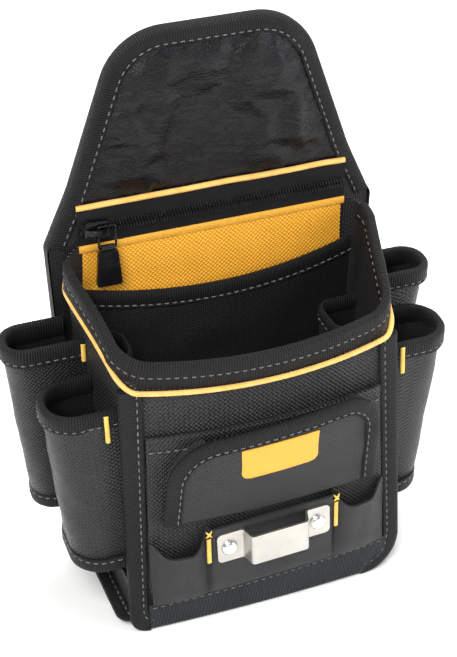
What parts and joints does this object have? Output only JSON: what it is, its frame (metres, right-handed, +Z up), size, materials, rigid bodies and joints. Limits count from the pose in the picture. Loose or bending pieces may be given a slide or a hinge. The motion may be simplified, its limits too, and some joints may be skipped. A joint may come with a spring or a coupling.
{
  "type": "electrician's tool pouch",
  "caption": "Cloth tool pouch with a padded back, bound rim, side tubes, zipped back pocket, front pockets and a riveted steel tape clip.",
  "frame": {"origin": "on the standing face under the middle of the bag", "axes": "+Z up along the back panel, +X to the right seen from the front, -Y out of the front"},
  "size_m": [0.2524, 0.1226, 0.3205],
  "materials": {
    "nylon": "coarse ballistic weave, slight gloss",
    "grey_cloth": "fine twill, matte",
    "lining": "smooth plain weave, matte",
    "coated_base": "ribbed coated cloth, satin",
    "tape": "ribbed grosgrain, matte",
    "zip_tape": "fine twill tape, matte",
    "tunnel_web": "heavy webbing, matte",
    "faux_leather": "grained and creased, semi-gloss",
    "foam": "closed-cell padding, hidden",
    "accent_cord": "smooth piping, satin",
    "accent_cloth": "basket weave, satin",
    "accent_label": "woven label, plain",
    "accent_thread": "bar-tack thread",
    "coil": "moulded coil, satin",
    "slider_metal": "black enamel",
    "tab_plastic": "moulded, satin",
    "clip_steel": "brushed, soft edges",
    "rivet_steel": "polished dome"
  },
  "bodies": {
    "pouch": {"front_panel": "nylon", "bottom_panel": "nylon", "gusset_left": "nylon", "gusset_right": "nylon", "base_shoe": "coated_base", "rim_binding": "tape", "rim_piping": "accent_cord", "corner_binding_left": "tape", "corner_binding_right": "tape", "leather_facing": "faux_leather", "back_lining": "lining", "back_foam": "foam", "back_cover": "nylon", "back_binding": "tape", "accent_piping": "accent_cord", "zip_tape_upper": "zip_tape", "zip_tape_lower": "zip_tape", "zip_coil_upper": "coil", "zip_coil_lower": "coil", "zip_pocket_panel": "accent_cloth", "slip_pocket": "lining", "slip_binding": "tape", "wide_pocket": "nylon", "arch_pocket": "grey_cloth", "arch_binding": "tape", "label": "accent_label", "strip_pockets": "grey_cloth", "tape_clip": "clip_steel", "rivets": "rivet_steel", "bar_tacks": "accent_thread", "belt_tunnel": "tunnel_web", "tube_front_left": "nylon", "tube_rim_front_left": "tape", "tube_foot_front_left": "tape", "tube_rear_left": "nylon", "tube_rim_rear_left": "tape", "tube_foot_rear_left": "tape", "inner_pocket_left": "lining", "inner_rim_left": "tape", "base_tape_left": "tape", "tube_front_right": "nylon", "tube_rim_front_right": "tape", "tube_foot_front_right": "tape", "tube_rear_right": "nylon", "tube_rim_rear_right": "tape", "tube_foot_rear_right": "tape", "inner_pocket_right": "lining", "inner_rim_right": "tape", "base_tape_right": "tape"},
    "slider": {"zip_slider": "slider_metal"},
    "link": {"pull_link": "slider_metal"},
    "tab": {"pull_tab": "tab_plastic"}
  },
  "joints": [
    {"name": "zip_slide", "type": "slide", "parent": "pouch", "child": "slider", "axis": [1, 0, 0], "range_m": [0, 0.12]},
    {"name": "pull_swing", "type": "hinge", "parent": "slider", "child": "link", "pos_m": [-0.067, 0.031, 0.2105], "axis": [0, 0, -1], "range_deg": [0, 90]},
    {"name": "tab_flip", "type": "hinge", "parent": "link", "child": "tab", "pos_m": [-0.06225, 0.031, 0.2038], "axis": [-1, 0, 0], "range_deg": [0, 110]}
  ]
}
